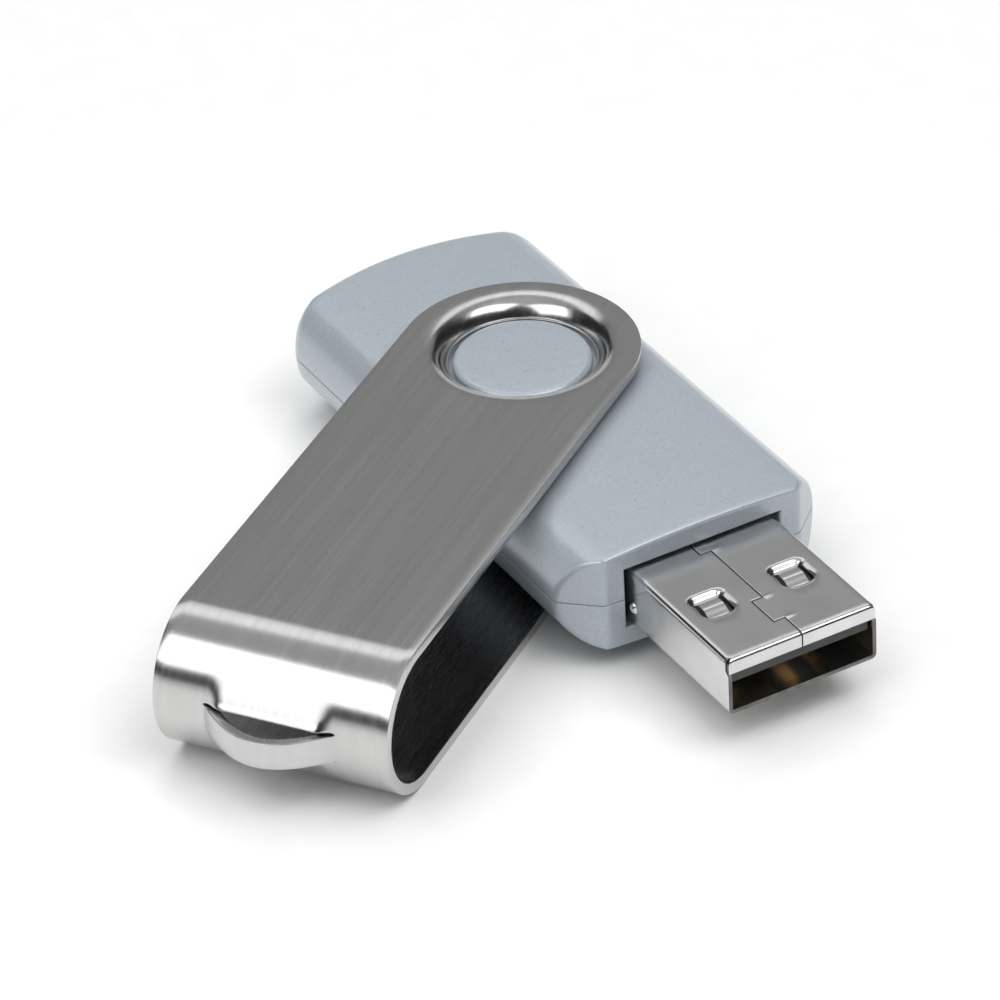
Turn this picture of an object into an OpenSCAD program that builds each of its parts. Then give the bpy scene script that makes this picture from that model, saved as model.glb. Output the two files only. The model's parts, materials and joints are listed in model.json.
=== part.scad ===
// Swivel flash drive: a two-shell plastic casing carries a metal-shelled plug,
// and a folded steel cover turns around two round bosses on the casing.
// X points to the plug's tip, Z is up along the swivel axis,
// and the origin is where that axis meets the cover's underside.

/* [Casing] */
// Distance from the swivel axis to the front face
casing_front = 24.7; // [23:0.1:26]
// Distance from the swivel axis to the rear end
casing_rear = 18.3; // [17.5:0.1:20]
// Width across the rounded sides
casing_width = 21.6; // [21:0.1:24]
// Thickness in the middle of the crowned faces
casing_thick = 8.4; // [8.2:0.05:8.5]
// Radius of the crowned upper and lower faces
crown_r = 97; // [80:1:200]
// Width of the flat front face between its two corner facets
front_face_width = 16; // [15:0.1:17]
// Length along the casing that each corner facet takes
facet_length = 2.5; // [2:0.1:3]
// Radius of the curved rear end
rear_arc_r = 30; // [26:1:40]
// Radius of the two rear corners seen from above
rear_corner_r = 4; // [3:0.1:5]
// Thickness of the end walls
casing_wall = 1.2; // [1:0.05:1.3]

/* [Swivel] */
// Radius of the round boss that the cover turns on
boss_r = 5.2; // [5:0.05:5.4]
// Distance of the boss's face below the cover's outer face
boss_sink = 1; // [0.9:0.05:1.1]
// Rounding at the boss's rim
boss_round = 0.25; // [0.1:0.05:0.3]
// Radial clearance between the boss and the cover's hole
swivel_clearance = 0.07; // [0.02:0.01:0.1]

/* [Cover] */
// Height over both outer faces
cover_height = 11.1; // [11:0.05:11.3]
// Width of the folded strip
cover_width = 17.7; // [17.6:0.1:19]
// Thickness of the steel sheet
cover_sheet = 0.8; // [0.7:0.02:0.82]
// Distance from the swivel axis to the outside of the bend
cover_reach = 42.3; // [42:0.1:46]
// Distance from the swivel axis to the free ends
cover_tail = 8.45; // [8.3:0.05:8.6]
// How far the cover stands open, turned from over the plug
cover_open = 54.7; // [0:0.1:180]

/* [Dish around the swivel] */
// Radius where the sheet starts to roll down
dish_outer_r = 7.6; // [7.4:0.05:7.8]
// Radius of the foot of the slope
dish_inner_r = 5.6; // [5.55:0.05:5.7]
// How much faster the slope falls at its foot than at its rim
dish_bow = 2; // [1:0.1:3]
// Thickness of the coined flange that bears on the boss
flange_thick = 0.4; // [0.3:0.05:0.45]
// Depth of the flange's upper face below the cover's outer face
flange_depth = 1.3; // [1.25:0.02:1.35]

/* [Lanyard loop] */
// Length of the strip between its two ends
loop_length = 10; // [8:0.5:11]
// Height of the strip
loop_height = 2.3; // [1.8:0.1:3]
// How far the strip is pushed out of the bend
loop_bulge = 2.6; // [2.3:0.1:3]
// Height of the upper slit above the middle of the bend
loop_top = 1.1; // [0.8:0.1:1.5]
// Width of the slits that free the strip
loop_slit = 0.15; // [0.1:0.05:0.25]

/* [Plug] */
// Width of the plug's metal shell
plug_width = 12; // [11.9:0.05:12.05]
// Height of the plug's metal shell
plug_height = 4.5; // [4.45:0.05:4.55]
// Thickness of the shell's sheet
plug_sheet = 0.3; // [0.28:0.01:0.32]
// Distance from the swivel axis to the plug's tip
plug_tip = 37.5; // [37:0.1:38]
// Length of the shell, most of the rest being inside the casing
plug_length = 18.8; // [18.6:0.1:19]
// Thickness of the tongue that carries the contacts
tongue_thick = 1.84; // [1.8:0.01:1.88]
// Width of the slot in the casing around the plug
slot_width = 12.8; // [12.7:0.05:12.9]
// Height of the slot in the casing around the plug
slot_height = 4.95; // [4.9:0.05:5]

/* [Circuit board] */
// Length of the board
board_length = 33; // [32:0.5:34]
// Width of the board
board_width = 14.6; // [14:0.1:15]
// Thickness of the board
board_thick = 0.8; // [0.7:0.05:0.8]

/* [Hidden] */
$fn = 96;
eps = 0.01;
over = 1; // how far a cutting shape reaches past what it cuts
mid_z = cover_height / 2;

// casing
half_thick = casing_thick / 2;
side_y = (casing_width - casing_thick) / 2;
rear_arc_x = rear_arc_r - casing_rear;
outline_margin = 0.4;
outline_half_y = casing_width / 2 + outline_margin;
rear_corner_y = outline_half_y - rear_corner_r;
rear_corner_reach = rear_arc_r - rear_corner_r;
rear_corner_x = rear_arc_x - sqrt(pow(rear_corner_reach, 2) - pow(rear_corner_y, 2));
rear_blend_y = rear_corner_y * rear_arc_r / rear_corner_reach;
seam_gap = 0.04;
cavity_half_z = 2.9;
cavity_half_y = 8.6;
boss_root = cavity_half_z + 0.3;
cavity_rear = casing_rear - 2.8;
cavity_front = casing_front - casing_wall;
lip_thick = 0.45;
lip_height = 0.7;
lip_clearance = 0.05;
recess_r = dish_inner_r + 1.45;
recess_clearance = 0.12;

// cover
bend_r = cover_height / 2;
bend_x = cover_reach - bend_r;
tail_r = cover_width / 2;
flange_top = cover_height - flange_depth;
flange_bottom = flange_top - flange_thick;
hole_r = boss_r + swivel_clearance;
boss_top = cover_height - boss_sink;
loop_r = (pow(loop_length / 2, 2) + pow(loop_bulge, 2)) / (2 * loop_bulge);
loop_mid_z = mid_z + loop_top - loop_height / 2;
loop_inner_r = loop_r - cover_sheet;
loop_root_x = bend_x + sqrt(pow(bend_r, 2) - pow(loop_top, 2));

// plug
plug_rear = plug_tip - plug_length;
plug_top = mid_z + plug_height / 2;
plug_inner_top = plug_top - plug_sheet;
plug_corner_r = 0.4;
insulator_fit = 0.04;
tongue_top = plug_inner_top - insulator_fit;
tongue_bottom = plug_inner_top - tongue_thick;
tongue_half_y = plug_width / 2 - plug_sheet - 0.15;
rim_thick = 0.3;
rim_drop = 1.15;
rim_gap = 0.08;
tongue_front = plug_tip - rim_thick - rim_gap;
insulator_rear = plug_rear - 0.4;
insulator_block = 6;
rib_thick = 0.8;
rib_xs = [plug_rear + 1.2, plug_rear + 3.6];
window_x = [plug_tip - 7.45, plug_tip - 5.15];
window_y = 3.25;
window_width = 2.4;
window_corner_r = 0.4;
tab_sink = 0.28;
tab_thick = 0.25;
tab_half_width = 0.7;
tab_gap = 0.3;
seam_width = 0.06;
seam_step_y = 0.9;
seam_x = [plug_tip - 11.75, plug_tip - 5.05, plug_tip - 2.2];

// contacts
contact_pitch_outer = 3.5;
contact_pitch_inner = 1;
contact_width = 1;
contact_thick = 0.25;
contact_proud = 0.05;
contact_bottom = tongue_bottom - contact_proud;
contact_top = contact_bottom + contact_thick;
groove_clearance = 0.02;
outer_contact_front = plug_tip - 1.2;
inner_contact_front = plug_tip - 2.2;
contact_tail = 2.4;
contact_rear = insulator_rear - contact_tail;

// board
board_bottom = contact_top + 0.01;
board_top = board_bottom + board_thick;
board_front = insulator_rear - 0.15;
board_rear = board_front - board_length;
leg_width = 0.9;
leg_x = board_front - 1.6;
leg_y = plug_width / 2 - plug_sheet;
leg_hole = 0.12;
leg_top = board_top + 0.5;
leg_arm_top = board_bottom - 0.4;
leg_arm_bottom = leg_arm_top - leg_width;
post_r = 0.8;
post_y = board_width / 2 - 1.1;
post_xs = [board_rear + 1.3, board_rear + 24];
post_gap = 0.05;
pin_r = 0.4;
pin_hole_r = 0.5;
pin_reach = 0.3;
pin_socket = 0.6;
supply_x = 13;
crystal_x = -3.5;

// chips
flash_x = -2.6;
flash_size = [18.4, 12, 1];
flash_leads_per_end = 24;
flash_pitch = 0.5;
flash_lead = [0.8, 0.22, 0.13];
controller_x = 6.5;
controller_size = [7, 7, 1.4];
controller_leads_per_side = 12;
controller_pitch = 0.5;
controller_lead = [1, 0.22, 0.13];
lead_foot = 0.5;
chip_lift = 0.1;
flash_lead_height = chip_lift + 0.35;
controller_lead_height = chip_lift + 0.6;

// A flat outline in X and Z, given thickness along Y around y = 0
module along_y(width) {
    rotate([90, 0, 0]) linear_extrude(width, center = true) children();
}

// A flat outline in Y and Z, stretched along X from one place to another
module along_x(from, to) {
    translate([from, 0, 0]) rotate([90, 0, 90]) linear_extrude(to - from) children();
}

// A box given by its two opposite corners
module span(low, high) {
    translate(low) cube(high - low);
}

// ---------------------------------------------------------------- casing

module casing_section() {
    intersection() {
        union() {
            square([2 * side_y, casing_thick], center = true);
            for (side = [-1, 1])
                translate([side * side_y, 0]) circle(r = half_thick);
        }
        translate([0, half_thick - crown_r]) circle(r = crown_r, $fn = 720);
        translate([0, crown_r - half_thick]) circle(r = crown_r, $fn = 720);
    }
}

module casing_outline() {
    nose = front_face_width / 2;
    facet_slope = facet_length / (casing_width / 2 - nose);
    facet_x = casing_front - facet_slope * (outline_half_y - nose);
    half = outline_half_y;
    intersection() {
        translate([rear_arc_x, 0]) circle(r = rear_arc_r, $fn = 240);
        union() {
            polygon([[rear_corner_x, -half], [facet_x, -half], [casing_front, -nose],
                     [casing_front, nose], [facet_x, half], [rear_corner_x, half]]);
            translate([-casing_rear - over, -rear_blend_y])
                square([casing_rear + over + rear_corner_x, 2 * rear_blend_y]);
            for (side = [-1, 1])
                translate([rear_corner_x, side * rear_corner_y]) circle(r = rear_corner_r);
        }
    }
}

module casing_block() {
    intersection() {
        along_x(-casing_rear - over, casing_front + over) casing_section();
        translate([0, 0, -casing_thick]) linear_extrude(2 * casing_thick) casing_outline();
    }
}

// The round boss, which starts inside the casing's wall
module boss() {
    height = boss_top - mid_z - boss_root;
    translate([0, 0, boss_root]) rotate_extrude() {
        square([boss_r - boss_round, height]);
        square([boss_r, height - boss_round]);
        translate([boss_r - boss_round, height - boss_round]) circle(r = boss_round);
    }
}

// The ledge between the shells; grow widens it and up deepens it
module lip(grow, up) {
    inner_y = cavity_half_y - grow;
    outer_y = cavity_half_y + lip_thick + grow;
    difference() {
        span([-cavity_rear - lip_thick - grow, -outer_y, -eps],
             [cavity_front - eps, outer_y, lip_height + up]);
        span([-cavity_rear + grow, -inner_y, -over], [casing_front, inner_y, lip_height + over]);
    }
}

// Upper half about the middle plane, before the ledge, slot and posts are added
module shell_half() {
    reach = casing_front + casing_rear;
    difference() {
        union() {
            intersection() {
                casing_block();
                span([-reach, -reach, seam_gap / 2], [reach, reach, casing_thick]);
            }
            boss();
        }
        span([-cavity_rear, -cavity_half_y, -over],
             [cavity_front, cavity_half_y, cavity_half_z]);
        difference() {
            translate([0, 0, flange_bottom - mid_z - recess_clearance])
                cylinder(r = recess_r, h = cover_height);
            translate([0, 0, -over]) cylinder(r = boss_r, h = 2 * cover_height);
        }
        span([cavity_front - over, -slot_width / 2, -over],
             [casing_front + over, slot_width / 2, slot_height / 2]);
    }
}

// Two ribs that grip the plug's shell inside the casing
module plug_ribs() {
    grip = 0.04;
    for (x = rib_xs)
        difference() {
            span([x, -cavity_half_y - eps, seam_gap / 2],
                 [x + rib_thick, cavity_half_y + eps, cavity_half_z + eps]);
            span([x - over, -plug_width / 2 - grip, -over],
                 [x + rib_thick + over, plug_width / 2 + grip, plug_height / 2 + grip]);
        }
}

module upper_casing() {
    color("lightsteelblue") difference() {
        translate([0, 0, mid_z]) union() {
            difference() {
                shell_half();
                lip(lip_clearance, lip_clearance);
            }
            difference() {
                plug_ribs();
                lip(lip_clearance, lip_clearance);
            }
            for (x = post_xs, side = [-1, 1])
                translate([x, side * post_y, board_top - mid_z + post_gap])
                    difference() {
                        cylinder(r = post_r, h = mid_z + cavity_half_z - board_top);
                        translate([0, 0, -over]) cylinder(r = pin_hole_r, h = over + pin_socket);
                    }
        }
    }
}

module lower_casing() {
    color("lightsteelblue") union() {
        translate([0, 0, mid_z]) mirror([0, 0, 1]) shell_half();
        translate([0, 0, mid_z]) mirror([0, 0, 1]) plug_ribs();
        translate([0, 0, mid_z - seam_gap / 2]) difference() {
            lip(0, 0);
            span([plug_rear - over, -slot_width, -over], [casing_front, slot_width, lip_height + over]);
        }
        for (x = post_xs, side = [-1, 1]) translate([x, side * post_y, 0]) {
            floor_z = mid_z - cavity_half_z - eps;
            translate([0, 0, floor_z]) cylinder(r = post_r, h = board_bottom - post_gap - floor_z);
            translate([0, 0, floor_z]) cylinder(r = pin_r, h = board_top + pin_reach - floor_z);
        }
    }
}

// ----------------------------------------------------------------- cover

module cover_fold() {
    difference() {
        union() {
            translate([-cover_tail, 0]) square([bend_x + cover_tail, cover_height]);
            translate([bend_x, bend_r]) circle(r = bend_r, $fn = 180);
        }
        translate([-cover_tail - over, cover_sheet])
            square([bend_x + cover_tail + over, cover_height - 2 * cover_sheet]);
        translate([bend_x, bend_r]) circle(r = bend_r - cover_sheet, $fn = 180);
    }
}

module cover_outline() {
    translate([tail_r - cover_tail, 0]) circle(r = tail_r);
    translate([tail_r - cover_tail, -cover_width / 2])
        square([cover_reach, cover_width]);
}

// Depth of the dish part of the way out from its foot, at t = 0, to its rim, at t = 1
function dish_depth(t) = flange_depth * pow((1 - t) / (1 + dish_bow * t), 2);

// One side of the dish: a soft rim, a slope that steepens inwards, and the coined flange
module dish() {
    steps = 12;
    under_foot = 0.5;
    under_rim = 1.1;
    under_drop = 0.1;
    width = dish_outer_r - dish_inner_r;
    slope = [for (i = [0 : steps])
        [dish_outer_r - width * i / steps, cover_height - dish_depth(1 - i / steps)]];
    under = [[dish_inner_r + under_foot, flange_bottom],
             [dish_inner_r + under_rim, cover_height - cover_sheet - under_drop],
             [dish_outer_r + eps, cover_height - cover_sheet]];
    rotate_extrude()
        polygon(concat([[dish_outer_r + eps, cover_height]], slope,
                       [[hole_r, flange_top], [hole_r, flange_bottom]], under));
}

// The strip that stands out of the bend for the lanyard, an arc seen from above
module loop_strip() {
    translate([loop_root_x + loop_bulge - loop_r, 0, loop_mid_z - loop_height / 2])
        intersection() {
            difference() {
                cylinder(r = loop_r, h = loop_height);
                translate([0, 0, -over]) cylinder(r = loop_inner_r, h = loop_height + 2 * over);
            }
            span([loop_r - loop_bulge - cover_sheet, -loop_r, 0],
                 [loop_r + over, loop_r, loop_height]);
        }
}

module swivel_cover() {
    opening_half_y = loop_length / 2 - cover_sheet;
    opening_half_z = loop_height / 2 + loop_slit;
    color("silver") rotate([0, 0, -cover_open]) union() {
        difference() {
            intersection() {
                along_y(cover_width + over) cover_fold();
                linear_extrude(cover_height) cover_outline();
            }
            translate([0, 0, -over]) cylinder(r = dish_outer_r, h = cover_height + 2 * over);
            span([bend_x + bend_r / 2, -opening_half_y, loop_mid_z - opening_half_z],
                 [cover_reach + over, opening_half_y, loop_mid_z + opening_half_z]);
        }
        dish();
        translate([0, 0, cover_height]) mirror([0, 0, 1]) dish();
        loop_strip();
    }
}

// ------------------------------------------------------------------ plug

module round_box(width, height, r) {
    square([width - 2 * r, height], center = true);
    square([width, height - 2 * r], center = true);
    for (y = [-1, 1], z = [-1, 1])
        translate([y * (width / 2 - r), z * (height / 2 - r)]) circle(r = r, $fn = 48);
}

module window(depth) {
    for (side = [-1, 1])
        translate([window_x[0], side * window_y, 0])
            linear_extrude(depth) {
                length = window_x[1] - window_x[0];
                translate([window_corner_r, -window_width / 2])
                    square([length - 2 * window_corner_r, window_width]);
                translate([0, -window_width / 2 + window_corner_r])
                    square([length, window_width - 2 * window_corner_r]);
                for (x = [window_corner_r, length - window_corner_r], y = [-1, 1])
                    translate([x, y * (window_width / 2 - window_corner_r)])
                        circle(r = window_corner_r, $fn = 32);
            }
}

// The interlocking joint where the two edges of the rolled sheet meet
module seam_cut() {
    half = seam_width / 2;
    path = [[plug_rear - over, -seam_step_y], [seam_x[0], -seam_step_y], [seam_x[0], 0],
            [seam_x[1], 0], [seam_x[1], -seam_step_y], [seam_x[2], -seam_step_y],
            [seam_x[2], 0], [plug_tip + over, 0]];
    for (i = [1 : len(path) - 1])
        span([path[i - 1].x - half, min(path[i - 1].y, path[i].y) - half, plug_top - rim_drop - over],
             [path[i].x + half, max(path[i - 1].y, path[i].y) + half, plug_top + over]);
}

module plug_tube() {
    difference() {
        round_box(plug_width, plug_height, plug_corner_r);
        round_box(plug_width - 2 * plug_sheet, plug_height - 2 * plug_sheet, plug_corner_r - plug_sheet);
    }
}

// The tongue of sheet left in a window, joined at its rear edge, and a leg that goes through the board
module tab_and_leg() {
    span([window_x[0] - eps, window_y - tab_half_width, plug_top - tab_sink - tab_thick],
         [window_x[1] - tab_gap, window_y + tab_half_width, plug_top - tab_sink]);
    span([leg_x, leg_y, leg_arm_bottom], [leg_x + leg_width, leg_y + plug_sheet, leg_top]);
    span([leg_x, leg_y, leg_arm_bottom], [plug_rear + eps, leg_y + plug_sheet, leg_arm_top]);
}

// The small round bump pressed out of the shell's side where it leaves the casing
module side_bump() {
    r = 0.6;
    rise = 0.25;
    place = [casing_front + 0.3, -plug_width / 2 - rise + r, mid_z - 0.7];
    intersection() {
        translate(place) sphere(r = r);
        span([place.x - over, -plug_width / 2 - over, place.z - over],
             [place.x + over, -plug_width / 2 + plug_sheet / 2, place.z + over]);
    }
}

module plug_shell() {
    rim_half_y = plug_width / 2 - plug_corner_r;
    color("gainsboro") union() {
        difference() {
            union() {
                translate([0, 0, mid_z]) along_x(plug_rear, plug_tip) plug_tube();
                span([plug_tip - rim_thick, -rim_half_y, plug_top - rim_drop],
                     [plug_tip, rim_half_y, plug_top - plug_sheet / 2]);
            }
            translate([0, 0, plug_top - plug_sheet - over]) window(plug_sheet + 2 * over);
            translate([0, 0, mid_z - plug_height / 2 - over]) window(plug_sheet + 2 * over);
            seam_cut();
        }
        tab_and_leg();
        mirror([0, 1, 0]) tab_and_leg();
        side_bump();
    }
}

module contact_groove(y, front) {
    half = contact_width / 2 + groove_clearance;
    span([insulator_rear - over, y - half, contact_bottom - over],
         [front + groove_clearance, y + half, contact_top + groove_clearance]);
}

module contact_grooves() {
    for (side = [-1, 1]) {
        contact_groove(side * contact_pitch_outer, outer_contact_front);
        contact_groove(side * contact_pitch_inner, inner_contact_front);
    }
}

module plug_insulator() {
    block_bottom = mid_z - plug_height / 2 + plug_sheet + insulator_fit;
    block_front = plug_rear + insulator_block;
    cover_x = plug_rear + 1;
    covered_bottom = contact_bottom - groove_clearance;
    color("dimgray") difference() {
        union() {
            span([insulator_rear, -tongue_half_y, tongue_bottom], [tongue_front, tongue_half_y, tongue_top]);
            span([insulator_rear, -tongue_half_y, block_bottom], [block_front, tongue_half_y, tongue_top]);
        }
        difference() {
            contact_grooves();
            span([cover_x, -tongue_half_y, contact_bottom - 2 * over],
                 [block_front, tongue_half_y, covered_bottom]);
        }
        translate([0, 0, plug_top - tab_sink - tab_thick - groove_clearance]) window(2 * over);
    }
}

module contact(y, front) {
    half = contact_width / 2;
    color("gold") span([contact_rear, y - half, contact_bottom], [front, y + half, contact_top]);
}

module contact_power() {
    contact(-contact_pitch_outer, outer_contact_front);
}

module contact_data_minus() {
    contact(-contact_pitch_inner, inner_contact_front);
}

module contact_data_plus() {
    contact(contact_pitch_inner, inner_contact_front);
}

module contact_ground() {
    contact(contact_pitch_outer, outer_contact_front);
}

// ----------------------------------------------------------------- board

module circuit_board() {
    cut_height = board_thick + 2 * over;
    slot_half_y = plug_sheet / 2 + leg_hole;
    color("darkgreen") difference() {
        span([board_rear, -board_width / 2, board_bottom], [board_front, board_width / 2, board_top]);
        for (x = post_xs, side = [-1, 1])
            translate([x, side * post_y, board_bottom - over]) cylinder(r = pin_hole_r, h = cut_height);
        for (side = [-1, 1])
            translate([leg_x, side * (leg_y + plug_sheet / 2), board_bottom - over])
                span([-leg_hole, -slot_half_y, 0], [leg_width + leg_hole, slot_half_y, cut_height]);
    }
}

// A gull-wing lead that runs out along +X from a chip's side and lands on z = 0
module gull_lead(size, height) {
    knee = size[0] - lead_foot;
    span([0, -size[1] / 2, height], [knee + size[2], size[1] / 2, height + size[2]]);
    span([knee, -size[1] / 2, 0], [knee + size[2], size[1] / 2, height + size[2]]);
    span([knee, -size[1] / 2, 0], [size[0], size[1] / 2, size[2]]);
}

module lead_row(count, pitch, size, height) {
    for (i = [0 : count - 1])
        translate([0, (i - (count - 1) / 2) * pitch, 0]) gull_lead(size, height);
}

// A chip's body with the small dot that marks its first lead
module chip(size) {
    dot_r = 0.4;
    dot_inset = 1;
    dot_depth = 0.08;
    difference() {
        translate([-size[0] / 2, -size[1] / 2, chip_lift]) cube(size);
        translate([-size[0] / 2 + dot_inset, -size[1] / 2 + dot_inset, chip_lift + size[2] - dot_depth])
            cylinder(r = dot_r, h = over, $fn = 32);
    }
}

module flash_memory_chip() {
    color("black") translate([flash_x, 0, board_top]) chip(flash_size);
}

module flash_memory_leads() {
    color("silver") translate([flash_x, 0, board_top])
        for (turn = [0, 180]) rotate([0, 0, turn]) translate([flash_size[0] / 2, 0, 0])
            lead_row(flash_leads_per_end, flash_pitch, flash_lead, flash_lead_height);
}

// Places children on the board's lower face with their own z pointing down
module under_board(x, y) {
    translate([x, y, board_bottom]) rotate([180, 0, 0]) children();
}

module controller_chip() {
    color("black") under_board(controller_x, 0) chip(controller_size);
}

module controller_leads() {
    color("silver") under_board(controller_x, 0)
        for (turn = [0, 90, 180, 270]) rotate([0, 0, turn]) translate([controller_size[0] / 2, 0, 0])
            lead_row(controller_leads_per_side, controller_pitch, controller_lead, controller_lead_height);
}

module crystal_oscillator() {
    body = [5, 3.2, 0.9];
    lid = [4.4, 2.6, 0.3];
    color("silver") under_board(crystal_x, 0) {
        translate([-body[0] / 2, -body[1] / 2, 0]) cube(body);
        translate([-lid[0] / 2, -lid[1] / 2, body[2]]) cube(lid);
    }
}

module activity_led() {
    body = [1.6, 0.8, 0.4];
    dome_r = 0.38;
    inset = 2.6;
    color("white") under_board(board_rear + inset, 0) {
        translate([-body[0] / 2, -body[1] / 2, 0]) cube(body);
        intersection() {
            translate([0, 0, body[2]]) sphere(r = dome_r, $fn = 32);
            span([-over, -over, 0], [over, over, over]);
        }
    }
}

// A small two-ended surface part: metal caps and a slightly thinner middle
module passive(size) {
    cap = size[0] / 5;
    thin = 0.04;
    translate([-size[0] / 2, -size[1] / 2, 0]) cube([cap, size[1], size[2]]);
    translate([size[0] / 2 - cap, -size[1] / 2, 0]) cube([cap, size[1], size[2]]);
    translate([-size[0] / 2 + cap / 2, -size[1] / 2 + thin, thin])
        cube([size[0] - cap, size[1] - 2 * thin, size[2] - 2 * thin]);
}

module ferrite_bead() {
    color("dimgray") under_board(supply_x, -contact_pitch_outer - contact_width) passive([2, 1.25, 0.9]);
}

// Two beside the crystal, two beside the controller, and a larger one on the supply line
module capacitors() {
    small = [1.6, 0.8, 0.8];
    large = [2, 1.25, 1.1];
    crystal_reach = 3.9;
    crystal_side_y = 3.6;
    controller_side_x = 2;
    controller_side_y = 5.6;
    supply_y = 5.2;
    color("tan") {
        for (side = [-1, 1]) {
            under_board(crystal_x + side * crystal_reach, crystal_side_y) passive(small);
            under_board(controller_side_x, side * controller_side_y) passive(small);
        }
        under_board(supply_x, supply_y) passive(large);
    }
}

// Two in series with the data lines and two near the light
module resistors() {
    size = [1.6, 0.8, 0.45];
    rear_x = -10.5;
    rear_y = 3;
    color("black") for (side = [-1, 1]) {
        under_board(supply_x, side * contact_pitch_inner) passive(size);
        under_board(rear_x, side * rear_y) passive(size);
    }
}

module contact_solder_joints() {
    margin = 0.18;
    heel = 0.3;
    length = 1.4;
    drop = 0.15;
    half = contact_width / 2;
    color("silver") for (pitch = [contact_pitch_inner, contact_pitch_outer], side = [-1, 1])
        translate([contact_rear, side * pitch, 0]) difference() {
            span([-heel, -half - margin, contact_top - drop], [length, half + margin, board_bottom]);
            span([-eps, -half - eps, contact_bottom - over],
                 [length + over, half + eps, contact_top + eps / 2]);
        }
}

module shell_solder_joints() {
    pad = 0.35;
    height = 0.3;
    half = plug_sheet / 2;
    color("silver") for (side = [-1, 1])
        translate([leg_x, side * (leg_y + half), board_bottom]) difference() {
            span([-pad, -half - pad, -height], [leg_width + pad, half + pad, 0]);
            span([-eps, -half - eps, -height - over], [leg_width + eps, half + eps, over]);
        }
}

upper_casing();
lower_casing();
swivel_cover();
plug_shell();
plug_insulator();
contact_power();
contact_data_minus();
contact_data_plus();
contact_ground();
circuit_board();
controller_chip();
controller_leads();
flash_memory_chip();
flash_memory_leads();
crystal_oscillator();
activity_led();
ferrite_bead();
capacitors();
resistors();
contact_solder_joints();
shell_solder_joints();
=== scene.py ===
"""Looks for the swivel flash drive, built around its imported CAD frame.

Meshes are drawn in millimetres and scaled to the frame's metres when they are placed.
X points to the plug's tip, Z is up along the swivel axis, and the cover is drawn
in its own directions: u from the axis towards its bend, v across it, z up.
"""

import json
import math

import bmesh
import bpy
import numpy as np
from mathutils import Matrix, Vector


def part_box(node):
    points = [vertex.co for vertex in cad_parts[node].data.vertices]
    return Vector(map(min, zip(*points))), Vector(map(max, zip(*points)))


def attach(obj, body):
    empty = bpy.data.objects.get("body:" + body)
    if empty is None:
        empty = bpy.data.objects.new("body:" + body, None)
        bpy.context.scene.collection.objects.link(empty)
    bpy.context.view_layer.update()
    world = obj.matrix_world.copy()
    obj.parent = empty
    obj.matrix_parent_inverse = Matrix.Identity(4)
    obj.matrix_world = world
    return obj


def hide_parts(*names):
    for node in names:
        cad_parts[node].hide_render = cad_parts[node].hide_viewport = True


MM = 0.001

# Camera
CAMERA_AZIMUTH = math.radians(61.6)
CAMERA_ELEVATION = math.radians(34.58)
CAMERA_ROLL = math.radians(-3.27)
CAMERA_DISTANCE = 414.1 * MM
CAMERA_AIM = (-2.1 * MM, -2.2 * MM)
LENS = 202.0

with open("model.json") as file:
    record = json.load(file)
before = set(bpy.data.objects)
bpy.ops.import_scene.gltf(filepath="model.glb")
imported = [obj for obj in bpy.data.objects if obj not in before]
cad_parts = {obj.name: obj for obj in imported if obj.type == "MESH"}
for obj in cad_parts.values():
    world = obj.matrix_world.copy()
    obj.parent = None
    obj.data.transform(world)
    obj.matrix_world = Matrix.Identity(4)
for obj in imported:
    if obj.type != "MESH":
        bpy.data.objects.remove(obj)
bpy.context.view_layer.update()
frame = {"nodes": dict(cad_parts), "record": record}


def box_mm(node):
    """A CAD node's lowest and highest corners, in millimetres."""
    lo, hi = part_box(node)
    return lo / MM, hi / MM


UPPER = box_mm("upper_casing")
COVER = box_mm("swivel_cover")
PLUG = box_mm("plug_shell")
LOOP_PLACE = next(m["pos_m"] for m in frame["record"]["mounts"] if m["name"] == "lanyard_loop")

# Casing
CASING_FRONT = UPPER[1].x
CASING_REAR = UPPER[0].x
HALF_WIDTH = UPPER[1].y
HALF_THICK = 4.2
CROWN_R = 97.0
CROWN_BLEND = 0.3
NOSE_HALF = 8.0
FACET_LENGTH = 2.5
REAR_ARC_R = 30.0
REAR_CORNER_R = 2.2
OUTLINE_MARGIN = 1.0
FRONT_ROUND = 0.35
FACET_ROUND = 0.22
REAR_ROUND = 0.9
SEAM_HALF = 0.025
SEAM_ROUND = 0.06
BOSS_R = 5.15
BOSS_TOP = UPPER[1].z
BOSS_ROUND = 0.45
RECESS_R = 7.05
RECESS_FLOOR = 9.28
CAVITY_X = (-15.5, 23.5)
CAVITY_HALF_Y = 8.6
CAVITY_HALF_Z = 2.9
SLOT_HALF_Y = 6.4
SLOT_HALF_Z = 2.475
SLOT_FLARE = 0.1

# Cover
COVER_TOP = COVER[1].z
MID_Z = COVER_TOP / 2
COVER_HALF = 8.85
COVER_SHEET = 0.8
COVER_TAIL = 8.45
COVER_REACH = 42.3
BEND_R = COVER_TOP / 2
BEND_X = COVER_REACH - BEND_R
COVER_TURN = math.atan2(LOOP_PLACE[1], LOOP_PLACE[0])
DISH_RADII = (5.6, 7.8)
DISH_DEPTH = 1.3
DISH_BOW = 1.0
HOLE_R = 5.42
LOOP_HALF = 5.0
LOOP_Z = (4.35, 6.65)
LOOP_BULGE = 2.6
LOOP_SLIT = 0.15

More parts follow.
